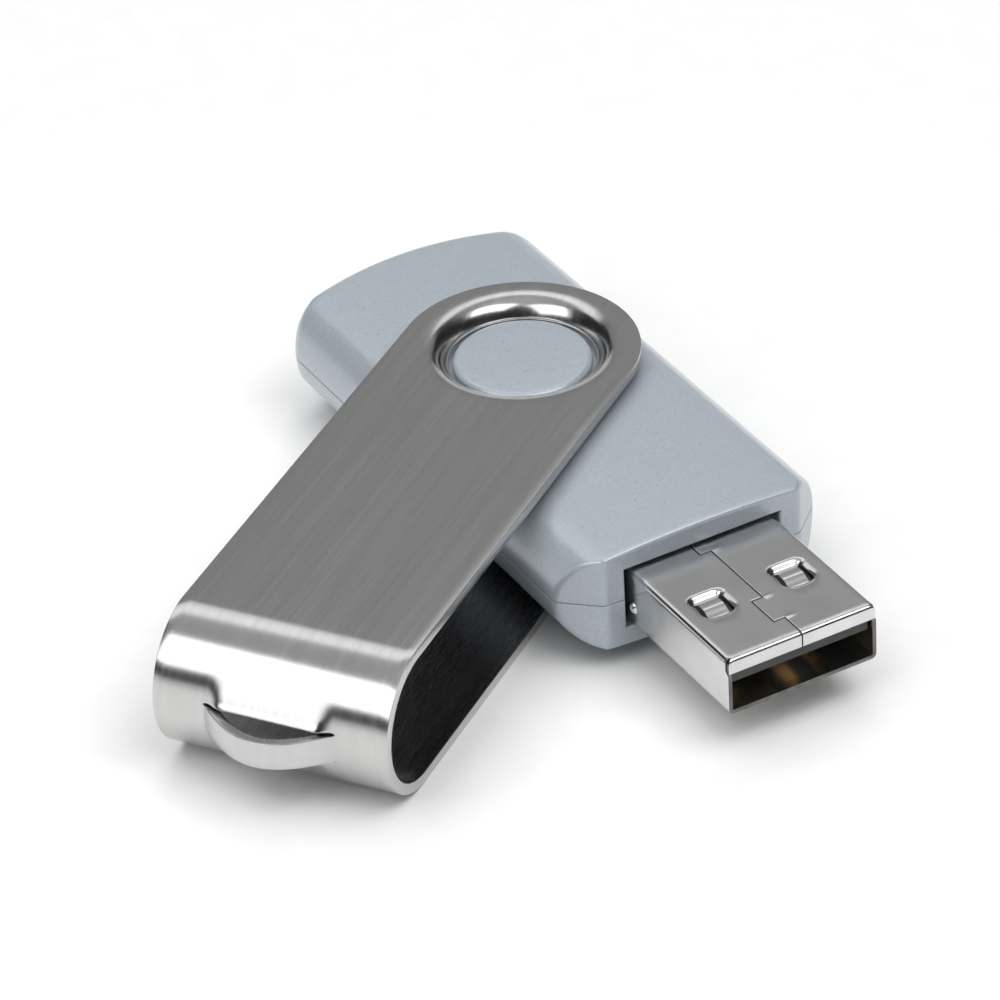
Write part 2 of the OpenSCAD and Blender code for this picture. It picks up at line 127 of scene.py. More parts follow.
# Plug
PLUG_TIP = PLUG[1].x
PLUG_REAR = PLUG_TIP - 18.8
PLUG_HALF = PLUG[1].y
PLUG_HALF_Z = 2.25
PLUG_TOP = MID_Z + PLUG_HALF_Z
PLUG_BOTTOM = MID_Z - PLUG_HALF_Z
PLUG_SHEET = 0.3
PLUG_CORNER = 0.4
PLUG_FLAT_Y = PLUG_HALF - PLUG_CORNER
PLUG_FLAT_Z = PLUG_HALF_Z - PLUG_CORNER
FLAP_BEND = 0.35
FLAP_DROP = 1.15
FLAP_FLARE = 0.06
FLAP_BEND_STEPS = 5
FLAP_DROP_STEPS = 3
WINDOW_X = (PLUG_TIP - 7.45, PLUG_TIP - 5.15)
WINDOW_Y = 3.25
WINDOW_HALF = 1.2
WINDOW_REACH = WINDOW_HALF + 0.55
JOG_X = (PLUG_TIP - 11.75, PLUG_TIP - 5.05, PLUG_TIP - 2.2)
JOG_Y = -0.9
SEAM_GAP = 0.05
SEAM_LINES = (-0.16, -SEAM_GAP, SEAM_GAP, 0.16)
BUMP = (CASING_FRONT + 0.3, MID_Z - 0.7)
BUMP_R = 0.6
BUMP_RISE = 0.25
LEG_X = (PLUG_REAR - 2.15, PLUG_REAR - 1.25)
ARM_Z = (MID_Z - 0.98, MID_Z - 0.08)
LEG_TOP = MID_Z + 1.62


# ---------------------------------------------------------------- stage

def camera_axes():
    """Right, up and back of the camera, with its small roll."""
    a, e = CAMERA_AZIMUTH, CAMERA_ELEVATION
    back = Vector((math.sin(a) * math.cos(e), -math.cos(a) * math.cos(e), math.sin(e)))
    right = Vector((0, 0, 1)).cross(back).normalized()
    up = back.cross(right)
    turn = Matrix.Rotation(CAMERA_ROLL, 3, back)
    return turn @ right, turn @ up, back


def make_camera():
    """A long lens that looks down on the front corner of the drive."""
    right, up, back = camera_axes()
    data = bpy.data.cameras.new("camera")
    data.lens = LENS
    data.clip_start = 0.01
    data.clip_end = 20
    camera = bpy.data.objects.new("camera", data)
    place = CAMERA_DISTANCE * back + CAMERA_AIM[0] * right + CAMERA_AIM[1] * up
    turn = Matrix((right, up, back)).transposed().to_4x4()
    camera.matrix_world = Matrix.Translation(place) @ turn
    bpy.context.scene.collection.objects.link(camera)
    bpy.context.scene.camera = camera


def make_softbox(name, azimuth, elevation, distance, size, radiance, reflected=True):
    """A rectangular light that faces the object.

    Azimuth and elevation, in degrees, say where it stands; distance and size are in metres.
    """
    a, e = math.radians(azimuth), math.radians(elevation)
    away = Vector((math.cos(a) * math.cos(e), math.sin(a) * math.cos(e), math.sin(e)))
    data = bpy.data.lights.new(name, "AREA")
    data.shape = "RECTANGLE"
    data.size, data.size_y = size
    data.energy = radiance * math.pi * size[0] * size[1]
    light = bpy.data.objects.new(name, data)
    light.visible_camera = False
    light.visible_glossy = reflected
    turn = away.to_track_quat("Z", "Y").to_matrix().to_4x4()
    light.matrix_world = Matrix.Translation(distance * away) @ turn
    bpy.context.scene.collection.objects.link(light)


def make_room():
    """A pale strip along the horizon, dark walls above it, and a lighter ceiling.

    Each stop is a height, from 0 at the horizon to 1 overhead, and how bright it is there.
    """
    world = bpy.data.worlds.new("world")
    bpy.context.scene.world = world
    world.use_nodes = True
    nodes, links = world.node_tree.nodes, world.node_tree.links
    place = nodes.new("ShaderNodeTexCoord")
    split = nodes.new("ShaderNodeSeparateXYZ")
    ramp = nodes.new("ShaderNodeValToRGB")
    strip = [(0.0, 0.8), (0.09, 0.8)]
    walls = [(0.12, 0.015), (0.55, 0.02), (0.72, 0.06)]
    ceiling = [(0.86, 0.38), (1.0, 0.55)]
    stops = strip + walls + ceiling
    elements = ramp.color_ramp.elements
    while len(elements) < len(stops):
        elements.new(0.5)
    for element, (height, level) in zip(elements, stops):
        element.position = height
        element.color = (level, level, level, 1)
    links.new(place.outputs["Generated"], split.inputs[0])
    links.new(split.outputs["Z"], ramp.inputs[0])
    links.new(ramp.outputs[0], nodes["Background"].inputs["Color"])
    nodes["Background"].inputs["Strength"].default_value = 1.0


def make_floor():
    """A wide sheet of pale paper; its half width is in metres."""
    mesh = bpy.data.meshes.new("floor")
    half = 3.0
    corners = [(-half, -half, 0), (half, -half, 0), (half, half, 0), (-half, half, 0)]
    mesh.from_pydata(corners, [], [(0, 1, 2, 3)])
    floor = bpy.data.objects.new("floor", mesh)
    bpy.context.scene.collection.objects.link(floor)
    sheet = Finish("floor_paper")
    sheet.base((0.81, 0.81, 0.81), roughness=0.9)
    sheet.colour_noise((0.8, 0.8, 0.8), (0.82, 0.82, 0.82), scale=300)
    floor.data.materials.append(sheet.material)


# ------------------------------------------------------------- materials

class Finish:
    """One node material around a Principled shader; noise scales are per metre."""

    def __init__(self, name):
        self.material = bpy.data.materials.new(name)
        self.material.use_nodes = True
        self.nodes = self.material.node_tree.nodes
        self.links = self.material.node_tree.links
        self.shader = self.nodes["Principled BSDF"]
        self.place = self.nodes.new("ShaderNodeTexCoord").outputs["Object"]
        self.height = None

    def base(self, colour, metallic=0.0, roughness=0.5, coat=0.0, coat_roughness=0.1):
        """Sets the values that are the same all over the surface."""
        self.shader.inputs["Base Color"].default_value = (*colour, 1)
        self.shader.inputs["Metallic"].default_value = metallic
        self.shader.inputs["Roughness"].default_value = roughness
        self.shader.inputs["Coat Weight"].default_value = coat
        self.shader.inputs["Coat Roughness"].default_value = coat_roughness

    def stretched(self, turn, scale):
        """Object coordinates turned about Z, then scaled along each axis."""
        turned = self.nodes.new("ShaderNodeMapping")
        turned.inputs["Rotation"].default_value = (0, 0, turn)
        self.links.new(self.place, turned.inputs["Vector"])
        scaled = self.nodes.new("ShaderNodeMapping")
        scaled.inputs["Scale"].default_value = scale
        self.links.new(turned.outputs[0], scaled.inputs["Vector"])
        return scaled.outputs[0]

    def noise(self, scale, detail=2.0, vector=None, rough=0.5):
        """Smooth noise from 0 to 1."""
        node = self.nodes.new("ShaderNodeTexNoise")
        node.inputs["Scale"].default_value = scale
        node.inputs["Detail"].default_value = detail
        node.inputs["Roughness"].default_value = rough
        self.links.new(vector or self.place, node.inputs["Vector"])
        return node.outputs["Fac"]

    def spread(self, source, low, high, out_low=0.0, out_high=1.0):
        """Stretches source so that low..high becomes out_low..out_high."""
        node = self.nodes.new("ShaderNodeMapRange")
        limits = {"From Min": low, "From Max": high, "To Min": out_low, "To Max": out_high}
        for name, value in limits.items():
            node.inputs[name].default_value = value
        self.links.new(source, node.inputs["Value"])
        return node.outputs["Result"]

    def blend(self, factor, first, second, mode="MIX"):
        """Mixes two colours; each is a tuple or a socket."""
        node = self.nodes.new("ShaderNodeMix")
        node.data_type = "RGBA"
        node.blend_type = mode
        self.links.new(factor, node.inputs["Factor"])
        for name, value in (("A", first), ("B", second)):
            socket = next(s for s in node.inputs if s.name == name and s.type == "RGBA")
            if isinstance(value, tuple):
                socket.default_value = (*value, 1)
            else:
                self.links.new(value, socket)
        return next(s for s in node.outputs if s.type == "RGBA")

    def colour(self, socket):
        """Lets a socket set the surface's colour."""
        self.links.new(socket, self.shader.inputs["Base Color"])

    def roughness(self, socket):
        """Lets a socket set the surface's roughness."""
        self.links.new(socket, self.shader.inputs["Roughness"])

    def colour_noise(self, first, second, scale, detail=2.0):
        """Colours the surface with cloudy patches of two tones."""
        patches = self.spread(self.noise(scale, detail), 0.35, 0.65)
        self.colour(self.blend(patches, first, second))

    def bump(self, source, distance, strength=1.0):
        """Adds a bump whose full height is distance, in metres."""
        node = self.nodes.new("ShaderNodeBump")
        node.inputs["Distance"].default_value = distance
        node.inputs["Strength"].default_value = strength
        self.links.new(source, node.inputs["Height"])
        if self.height:
            self.links.new(self.height, node.inputs["Normal"])
        self.height = node.outputs["Normal"]
        self.links.new(self.height, self.shader.inputs["Normal"])


def casing_plastic():
    """Silver-blue lacquered plastic with fine metallic flakes and a few dark specks."""
    look = Finish("casing_plastic")
    look.base((0.39, 0.43, 0.48), metallic=0.3, roughness=0.34, coat=0.6, coat_roughness=0.18)
    flake = look.spread(look.noise(5200, 2.0), 0.36, 0.66)
    cloud = look.spread(look.noise(380, 3.0), 0.3, 0.7, 0, 0.3)
    speck = look.spread(look.noise(3400, 1.0), 0.72, 0.77, 0, 0.45)
    tone = look.blend(flake, (0.375, 0.418, 0.465), (0.425, 0.47, 0.52))
    tone = look.blend(cloud, tone, (0.36, 0.408, 0.46))
    look.colour(look.blend(speck, tone, (0.16, 0.18, 0.2)))
    look.roughness(look.spread(flake, 0, 1, 0.31, 0.38))
    look.bump(look.noise(2600, 3.0), 0.000003)
    return look.material


def brushed(name, colour, dark, rough):
    """Brushed sheet steel with its grain along the cover."""
    streak_height = 0.0000005
    look = Finish(name)
    look.base(colour, metallic=1.0, roughness=sum(rough) / 2)
    fine = look.noise(1.0, 2.0, look.stretched(-COVER_TURN, (60, 9000, 60)))
    wide = look.noise(1.0, 3.0, look.stretched(-COVER_TURN, (45, 1600, 45)))
    smudge = look.noise(110, 3.0)
    tone = look.blend(look.spread(wide, 0.3, 0.7), dark, colour)
    look.colour(look.blend(look.spread(smudge, 0.35, 0.75, 0, 0.3), tone, dark))
    look.roughness(look.spread(fine, 0.25, 0.75, *rough))
    look.bump(fine, streak_height)
    look.bump(wide, streak_height)
    return look.material


def plug_steel():
    """Nickel-plated plug shell: bright, with soft smudges and fine rub marks."""
    look = Finish("plug_steel")
    look.base((0.62, 0.61, 0.6), metallic=1.0, roughness=0.24)
    smudge = look.noise(260, 4.0, rough=0.6)
    rub = look.noise(1.0, 3.0, look.stretched(0.0, (250, 4500, 2500)))
    tone = look.blend(look.spread(smudge, 0.35, 0.7), (0.72, 0.715, 0.71), (0.64, 0.635, 0.63))
    look.colour(tone)
    look.roughness(look.spread(smudge, 0.3, 0.7, 0.18, 0.27))
    look.bump(rub, 0.0000001)
    look.bump(look.noise(300, 1.0), 0.000004)
    return look.material


def dark_plastic(name, low, high, rough=0.45):
    """Matt moulded plastic with a fine grain."""
    look = Finish(name)
    look.base(low, roughness=rough)
    look.colour_noise(low, high, scale=900, detail=4.0)
    look.roughness(look.spread(look.noise(700, 3.0), 0.3, 0.7, rough - 0.08, rough + 0.1))
    look.bump(look.noise(5000, 3.0), 0.000008)
    return look.material


def plain_metal(name, low, high, rough, scale=900):
    """A small metal part whose tone and gloss vary a little."""
    look = Finish(name)
    look.base(low, metallic=1.0, roughness=rough)
    look.colour_noise(low, high, scale=scale, detail=3.0)
    look.roughness(look.spread(look.noise(scale * 2, 3.0), 0.3, 0.7, rough - 0.08, rough + 0.12))
    look.bump(look.noise(scale * 4, 2.0), 0.000004)
    return look.material


def board_green():
    """Solder mask with a faint pattern of tracks under it."""
    look = Finish("board_green")
    look.base((0.01, 0.09, 0.035), roughness=0.3, coat=0.4)
    wave = look.nodes.new("ShaderNodeTexWave")
    wave.inputs["Scale"].default_value = 420
    wave.inputs["Distortion"].default_value = 3.0
    look.links.new(look.place, wave.inputs["Vector"])
    track = look.spread(wave.outputs["Fac"], 0.55, 0.7)
    look.colour(look.blend(track, (0.006, 0.06, 0.022), (0.015, 0.13, 0.05)))
    look.roughness(look.spread(look.noise(1200, 2.0), 0.3, 0.7, 0.22, 0.38))
    look.bump(track, 0.00003)
    return look.material


def led_clear():
    """Milky clear resin."""
    look = Finish("led_clear")
    look.base((0.85, 0.88, 0.9), roughness=0.15)
    look.colour_noise((0.8, 0.84, 0.86), (0.9, 0.92, 0.93), scale=1500)
    look.shader.inputs["Transmission Weight"].default_value = 0.5
    return look.material


FINISHES = {
    "casing_plastic": casing_plastic(),
    "cover_steel": brushed("cover_steel", (0.61, 0.606, 0.602), (0.555, 0.551, 0.547), (0.17, 0.24)),
    # painted shade: the cover's inner face uses a darker copy of the same steel, standing in for the shade
    # inside the fold
    "cover_inside_painted_shade": brushed("cover_inside_painted_shade", (0.26, 0.257, 0.254), (0.21, 0.207, 0.204), (0.24, 0.32)),
    "plug_steel": plug_steel(),
    # painted shade: the plug's cut edges get a dark grey metal that stands in for the shade in the seam gap
    # and under the flap
    "plug_edge_painted_shade": plain_metal("plug_edge_painted_shade", (0.2, 0.195, 0.19), (0.14, 0.137, 0.133), 0.4),
    "insulator_plastic": dark_plastic("insulator_plastic", (0.03, 0.03, 0.031), (0.045, 0.045, 0.046)),
    "contact_gold": plain_metal("contact_gold", (0.8, 0.52, 0.2), (0.68, 0.42, 0.16), 0.25),
    "board_green": board_green(),
    "chip_black": dark_plastic("chip_black", (0.012, 0.012, 0.013), (0.025, 0.025, 0.026), rough=0.5),
    "lead_tin": plain_metal("lead_tin", (0.66, 0.66, 0.65), (0.52, 0.52, 0.51), 0.32),
    "crystal_metal": plain_metal("crystal_metal", (0.7, 0.69, 0.66), (0.55, 0.54, 0.52), 0.3),
    "led_clear": led_clear(),
    "ferrite_grey": dark_plastic("ferrite_grey", (0.06, 0.06, 0.062), (0.1, 0.1, 0.1), rough=0.6),
    "capacitor_tan": dark_plastic("capacitor_tan", (0.42, 0.27, 0.14), (0.5, 0.33, 0.18)),
    "resistor_black": dark_plastic("resistor_black", (0.015, 0.015, 0.016), (0.03, 0.03, 0.03)),
    "solder": plain_metal("solder", (0.6, 0.6, 0.6), (0.48, 0.48, 0.48), 0.3, scale=2000),
}


# ---------------------------------------------------------- mesh helpers

def soft_and(first, second, r):
    """Distance to where two solids overlap, with the edge between them rounded."""
    corner = np.hypot(np.maximum(first + r, 0), np.maximum(second + r, 0))
    return np.minimum(-r, np.maximum(first, second)) + corner


def smooth(t):
    """Rises gently from 0 to 1 as t does."""
    t = min(max(t, 0), 1)
    return t * t * (3 - 2 * t)


def make_piece(name, points, faces):
    """A new object from points and faces, with its mesh welded and tidied."""
    mesh = bpy.data.meshes.new(name)
    mesh.from_pydata([tuple(p) for p in points], [], faces)
    piece = bpy.data.objects.new(name, mesh)
    bpy.context.scene.collection.objects.link(piece)
    tidy_mesh(piece)
    return piece


def tidy_mesh(piece, distance=2e-4):
    """Welds doubled points, drops faces without area and turns the rest outwards."""
    bm = bmesh.new()
    bm.from_mesh(piece.data)
    bmesh.ops.remove_doubles(bm, verts=bm.verts, dist=distance)
    bmesh.ops.dissolve_degenerate(bm, edges=bm.edges, dist=distance)
    bmesh.ops.delete(bm, geom=[v for v in bm.verts if not v.link_faces], context="VERTS")
    bmesh.ops.recalc_face_normals(bm, faces=bm.faces)
    bm.to_mesh(piece.data)
    bm.free()


def bake_modifiers(piece):
    """Makes the result of a piece's modifiers its mesh."""
    depsgraph = bpy.context.evaluated_depsgraph_get()
    mesh = bpy.data.meshes.new_from_object(piece.evaluated_get(depsgraph))
    piece.modifiers.clear()
    piece.data = mesh


def combine(piece, tool, operation):
    """Adds or cuts away a tool piece and removes it."""
    modifier = piece.modifiers.new("tool", "BOOLEAN")
    modifier.object = tool
    modifier.operation = operation
    modifier.solver = "EXACT"
    bake_modifiers(piece)
    bpy.data.objects.remove(tool)


def thicken(piece, thickness, inner=0, rim=0, group=""):
    """Gives an open sheet its thickness, inwards; inner and rim shift the finish of those faces."""
    solid = piece.modifiers.new("sheet", "SOLIDIFY")
    solid.thickness = thickness
    solid.offset = -1
    solid.vertex_group = group
    solid.material_offset = inner
    solid.material_offset_rim = rim
    bake_modifiers(piece)


def round_edges(piece, width, segments, angle):
    """Adds a bevel to the edges that are sharper than an angle in degrees."""
    rim = piece.modifiers.new("edges", "BEVEL")
    rim.width = width
    rim.segments = segments
    rim.limit_method = "ANGLE"
    rim.angle_limit = math.radians(angle)


def box_piece(low, high):
    """A plain box between two corners, used as a tool and for the legs."""
    corners = [(x, y, z) for x in (low[0], high[0]) for y in (low[1], high[1]) for z in (low[2], high[2])]
    faces = [(0, 1, 3, 2), (4, 6, 7, 5), (0, 4, 5, 1), (2, 3, 7, 6), (0, 2, 6, 4), (1, 5, 7, 3)]
    return make_piece("box", corners, faces)


def turned_piece(profile, steps=144):
    """A solid of revolution about Z from a closed outline of (radius, height) points."""
    points = []
    for i in range(steps):
        a = 2 * math.pi * i / steps
        points += [(r * math.cos(a), r * math.sin(a), z) for r, z in profile]
    n = len(profile)
    faces = []
    for i in range(steps):
        for j in range(n):
            k = (i + 1) % steps
            faces.append((i * n + j, k * n + j, k * n + (j + 1) % n, i * n + (j + 1) % n))
    return make_piece("turned", points, faces)


def prism_piece(outline, low, high):
    """A closed outline of (x, y) points, extruded from low to high."""
    n = len(outline)
    points = [(x, y, low) for x, y in outline] + [(x, y, high) for x, y in outline]
    sides = [(i, (i + 1) % n, n + (i + 1) % n, n + i) for i in range(n)]
    return make_piece("prism", points, sides + [tuple(range(n))[::-1], tuple(range(n, 2 * n))])


def grid_faces(rows, columns, first=0):
    """The quads of a grid of points, numbered row by row from first."""
    faces = []
    for i in range(rows - 1):
        for j in range(columns - 1):
            a = first + i * columns + j
            faces.append((a, a + 1, a + columns + 1, a + columns))
    return faces


def place_piece(piece, name, body, nodes, materials, sharp=35):
    """Scales a finished piece to metres, gives it its finish and seats it on its body."""
    piece.name = name
    piece.data.transform(Matrix.Scale(MM, 4))
    piece.data.polygons.foreach_set("use_smooth", [True] * len(piece.data.polygons))
    piece.data.set_sharp_from_angle(angle=math.radians(sharp))
    while len(piece.data.materials) < len(materials):
        piece.data.materials.append(None)
    for i, material in enumerate(materials):
        piece.data.materials[i] = material
    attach(piece, body)
    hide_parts(*nodes)


# ---------------------------------------------------------------- casing

FLANK_Y = HALF_WIDTH - HALF_THICK


def crown_distance(y, z):
    """Distance to the crowned top face, a shallow arc across the casing."""
    return np.hypot(y, z + CROWN_R - HALF_THICK) - CROWN_R


def flank_distance(y, z, limit=math.radians(66)):
    """Distance to the rounded side, carried on straight where the crown takes over."""
    out = np.abs(y) - FLANK_Y
    angle = np.clip(np.arctan2(z, out), 0, limit)
    return out * np.cos(angle) + z * np.sin(angle) - HALF_THICK


def front_distance(x, y):
    """The flat front face and its two corner facets."""
    run = HALF_WIDTH - NOSE_HALF
    facet = (x - CASING_FRONT) * run + (np.abs(y) - NOSE_HALF) * FACET_LENGTH
    facet /= math.hypot(run, FACET_LENGTH)
    return soft_and(x - CASING_FRONT, facet, FACET_ROUND)


def rear_distance(x, y):
    """The curved rear end with its two rounded corners."""
    arc = np.hypot(x - CASING_REAR - REAR_ARC_R, y) - REAR_ARC_R
    return soft_and(arc, np.abs(y) - HALF_WIDTH - OUTLINE_MARGIN, REAR_CORNER_R)


def casing_distance(p):
    """Distance to the upper half of the casing about its middle plane, edges rounded."""
    x, y, z = p.T
    section = soft_and(crown_distance(y, z), flank_distance(y, z), CROWN_BLEND)
    front = soft_and(section, front_distance(x, y), FRONT_ROUND)
    rear = soft_and(section, rear_distance(x, y), REAR_ROUND)
    return soft_and(np.maximum(front, rear), SEAM_HALF - z, SEAM_ROUND)


def settle(points, distance, steps=8, h=1e-4):
    """Moves points onto the surface where distance is 0."""
    p = np.array(points, dtype=float)
    for _ in range(steps):
        f = distance(p)
        slope = np.stack([(distance(p + h * axis) - f) / h for axis in np.eye(3)], axis=1)
        p -= slope * (f / np.maximum((slope ** 2).sum(axis=1), 1e-9))[:, None]
    return p


def plan_edge(distance, y, outside, inside):
    """The x where an end's outline crosses each y, by halving."""
    a = np.full_like(y, outside)
    b = np.full_like(y, inside)
    for _ in range(40):
        middle = (a + b) / 2
        out = distance(middle, y) > 0
        a = np.where(out, middle, a)
        b = np.where(out, b, middle)
    return b


def section_columns():
    """(y, z) points over the crowned section, close together at the seam and the facets' corner."""
    seam = [SEAM_HALF + d for d in (0, 0.02, 0.045, 0.08, 0.15, 0.3)]
    start = math.asin(seam[-1] / HALF_THICK)
    arc = [start + (math.radians(62) - start) * i / 16 for i in range(1, 17)]
    flank = [(FLANK_Y + math.sqrt(HALF_THICK ** 2 - z * z), z) for z in seam]
    flank += [(FLANK_Y + HALF_THICK * math.cos(a), HALF_THICK * math.sin(a)) for a in arc]
    corner = (0.42, 0.28, 0.15, 0.06, 0, -0.06, -0.14, -0.26, -0.45, -0.7, -1.0)
    crown_ys = [NOSE_HALF + d for d in corner]
    crown_ys += [6.5 - 0.5 * i for i in range(14)]
    crown = [(y, HALF_THICK - CROWN_R + math.sqrt(CROWN_R ** 2 - y * y)) for y in crown_ys]
    half = flank + crown
    other = [(-y, z) for y, z in reversed(half) if y > 0]
    return np.array(half + other)


def casing_shell():
    """The solid upper half of the casing, about its middle plane.

    Its grid of points is finest over the rounded edges at the two ends, and each
    point then settles onto the rounded shape.
    """
    column = section_columns()
    y, z = column.T
    front = plan_edge(front_distance, y, CASING_FRONT + 1, 0.0)
    rear = plan_edge(rear_distance, y, CASING_REAR - 1, 0.0)
    near_front = [0, 0.04, 0.09, 0.15, 0.22, 0.3, 0.4, 0.6, 1.0]
    near_rear = [0, 0.1, 0.2, 0.32, 0.46, 0.62, 0.8, 1.0, 1.3]
    middle = [i / 44 for i in range(1, 44)]
    stations = [rear + d for d in near_rear]
    stations += [(rear + near_rear[-1]) * (1 - t) + (front - near_front[-1]) * t for t in middle]
    stations += [front - d for d in reversed(near_front)]
    levels = [1, 0.988, 0.975, 0.96, 0.94, 0.92, 0.89, 0.85, 0.8, 0.72]
    levels += [0.6, 0.45, 0.3, 0.18, 0.1, 0.05, 0.02, 0.008, 0]
    heights = [SEAM_HALF + (z - SEAM_HALF) * k for k in levels]
    sheets = [[np.stack([x, y, z], axis=1) for x in stations],
              [np.stack([x, y, np.full_like(y, SEAM_HALF)], axis=1) for x in stations],
              [np.stack([front, y, h], axis=1) for h in heights],
              [np.stack([rear, y, h], axis=1) for h in heights]]
    points, faces = [], []
    for sheet in sheets:
        faces += grid_faces(len(sheet), len(y), first=len(points))
        points += [p for row in sheet for p in row]
    return make_piece("casing", settle(points, casing_distance), faces)


def slot_tool():
    """Opens the slot for the plug, with a small flare at its mouth."""
    past = 0.5
    inner = CAVITY_X[1] - 1
    lip = CASING_FRONT - SLOT_FLARE
    sizes = [(inner, 0), (lip, 0), (CASING_FRONT + past, SLOT_FLARE + past)]
    points = []
    for x, grow in sizes:
        half_y, top = SLOT_HALF_Y + grow, SLOT_HALF_Z + grow
        points += [(x, -half_y, -1), (x, half_y, -1), (x, half_y, top), (x, -half_y, top)]
    faces = [(0, 1, 2, 3), (11, 10, 9, 8)]
    for ring in (0, 4):
        faces += [(ring + i, ring + 4 + i, ring + 4 + (i + 1) % 4, ring + (i + 1) % 4) for i in range(4)]
    return make_piece("slot", points, faces)


def boss_outline():
    """Half section of the boss: an upright side, a soft edge and a slightly domed face."""
    top = BOSS_TOP - MID_Z
    foot = HALF_THICK - 0.8
    steps = 8
    dome = 0.05
    edge = []
    for i in range(steps + 1):
        a = math.pi / 2 * i / steps
        edge.append((BOSS_R - BOSS_ROUND * (1 - math.cos(a)), top - dome - BOSS_ROUND * (1 - math.sin(a))))
    face = [((BOSS_R - BOSS_ROUND) * t, top - dome * t * t) for t in (0.8, 0.6, 0.4, 0.2, 0)]
    return [(0, foot), (BOSS_R, foot)] + edge + face


def make_casing(name, upper):
    """One half of the casing: hollow, with its boss, its ring-shaped recess and half the slot."""
    shell = casing_shell()
    low, high = (CAVITY_X[0], -CAVITY_HALF_Y, -1), (CAVITY_X[1], CAVITY_HALF_Y, CAVITY_HALF_Z)
    combine(shell, box_piece(low, high), "DIFFERENCE")
    floor = RECESS_FLOOR - MID_Z
    inner, above = BOSS_R - 0.6, floor + 2
    ring = [(inner, floor), (RECESS_R, floor), (RECESS_R, above), (inner, above)]
    combine(shell, turned_piece(ring), "DIFFERENCE")
    combine(shell, turned_piece(boss_outline()), "UNION")
    combine(shell, slot_tool(), "DIFFERENCE")
    if not upper:
        shell.data.transform(Matrix.Scale(-1, 4, (0, 0, 1)))
        shell.data.flip_normals()
    shell.data.transform(Matrix.Translation((0, 0, MID_Z)))
    place_piece(shell, name + "_shell", "drive", [name], [FINISHES["casing_plastic"]])


# ----------------------------------------------------------------- cover

HALF_PATH = BEND_X + math.pi * BEND_R / 2
GRID_EDGE = 9.5


def dish_run(r):
    """0 at the dish's inner edge and 1 at its outer edge."""
    return min(max((r - DISH_RADII[0]) / (DISH_RADII[1] - DISH_RADII[0]), 0), 1)


def dish_depth(r):
    """How far the sheet is pressed in at a distance from the swivel axis."""
    t = dish_run(r)
    return DISH_DEPTH * ((1 - t) / (1 + DISH_BOW * t)) ** 2


def fold(s, v, sink=0.0):
    """Outer face of the folded strip; s runs from the middle of the bend, over the top when negative."""
    side = -1 if s > 0 else 1
    along = HALF_PATH - abs(s)
    if along <= BEND_X:
        return (along, v, MID_Z + side * (BEND_R - sink))
    a = (along - BEND_X) / BEND_R
    r = BEND_R - sink
    return (BEND_X + r * math.sin(a), v, MID_Z + side * r * math.cos(a))


def slit_pull(s, v, slit_s):
    """How far the punch has drawn the sheet out beside a slit."""
    reach = 2.3
    pull = 0.5
    half = LOOP_HALF - 0.3
    end_slope = 2.4
    t = 1 - abs(s - slit_s) / reach
    across = 1 - (v / half) ** 2
    if t <= 0 or across <= 0:
        return 0.0
    return pull * t * t * smooth(end_slope * across)


def strip_stations():
    """Places along the sheet between the two pivot grids, with both slits among them."""
    slits = [-BEND_R * math.asin((z - MID_Z) / BEND_R) for z in reversed(LOOP_Z)]
    end = HALF_PATH - GRID_EDGE
    bend = HALF_PATH - BEND_X
    flat_steps, bend_steps, loop_steps = 14, 26, 7
    flat = [bend + (end - bend) * i / flat_steps for i in range(flat_steps + 1)]
    places = [-s for s in reversed(flat)]
    places += [-bend + (slits[0] + bend) * i / bend_steps for i in range(1, bend_steps + 1)]
    first_slit = len(places) - 1
    places += [slits[0] + (slits[1] - slits[0]) * i / loop_steps for i in range(1, loop_steps + 1)]
    last_slit = len(places) - 1
    places += [slits[1] + (bend - slits[1]) * i / bend_steps for i in range(1, bend_steps + 1)]
    places += flat[1:]
    return places, first_slit, last_slit


def cross_stations():
    """Places across the sheet; the loop's ends are among them."""
    outer = [5.3, 5.8, 6.5, 7.3, 8.1, COVER_HALF]
    inner = [LOOP_HALF, 4.85, 4.65, 4.4] + [4.0 - 0.4 * i for i in range(10)]
    half = sorted(inner + outer)
    return [-v for v in reversed(half)] + [0.0] + half


def loop_shape(v):
    """Outward push of the lanyard strip across its length."""
    t = abs(v) / LOOP_HALF
    ease = 1.12
    return LOOP_BULGE * max(1 - t * t, 0) ** ease


def strip_part(points, faces):
    """The long folded sheet between the pivots, with the pushed-out lanyard strip."""
    rows, first_slit, last_slit = strip_stations()
    columns = cross_stations()
    slits = (rows[first_slit], rows[last_slit])
    index = {}

    def sheet_point(i, j):
        """The number of a point on the sheet itself; beside a slit it stands back from it."""
        if ("sheet", i, j) not in index:
            s, v = rows[i], columns[j]
            inside = abs(v) < LOOP_HALF
            gap = LOOP_SLIT / 2 if inside and i in (first_slit, last_slit) else 0
            shift = -gap if i == first_slit else gap
            pull = slit_pull(s, v, slits[0] if s < 0 else slits[1])
            index["sheet", i, j] = len(points)
            points.append(fold(s + shift, v, -pull))
        return index["sheet", i, j]

    def loop_point(i, j):
        """The number of a point on the lanyard strip, which shares its ends with the sheet."""
        if abs(columns[j]) >= LOOP_HALF:
            return sheet_point(i, j)
        if ("loop", i, j) not in index:
            gap = LOOP_SLIT / 2
            shift = {first_slit: gap, last_slit: -gap}.get(i, 0)
            x, y, z = fold(rows[i] + shift, columns[j])
            index["loop", i, j] = len(points)
            points.append((x + loop_shape(columns[j]), y, z))
        return index["loop", i, j]

    for i in range(len(rows) - 1):
        for j in range(len(columns) - 1):
            freed = first_slit <= i < last_slit and abs(columns[j] + columns[j + 1]) / 2 < LOOP_HALF
            point = loop_point if freed else sheet_point
            faces.append((point(i, j), point(i + 1, j), point(i + 1, j + 1), point(i, j + 1)))


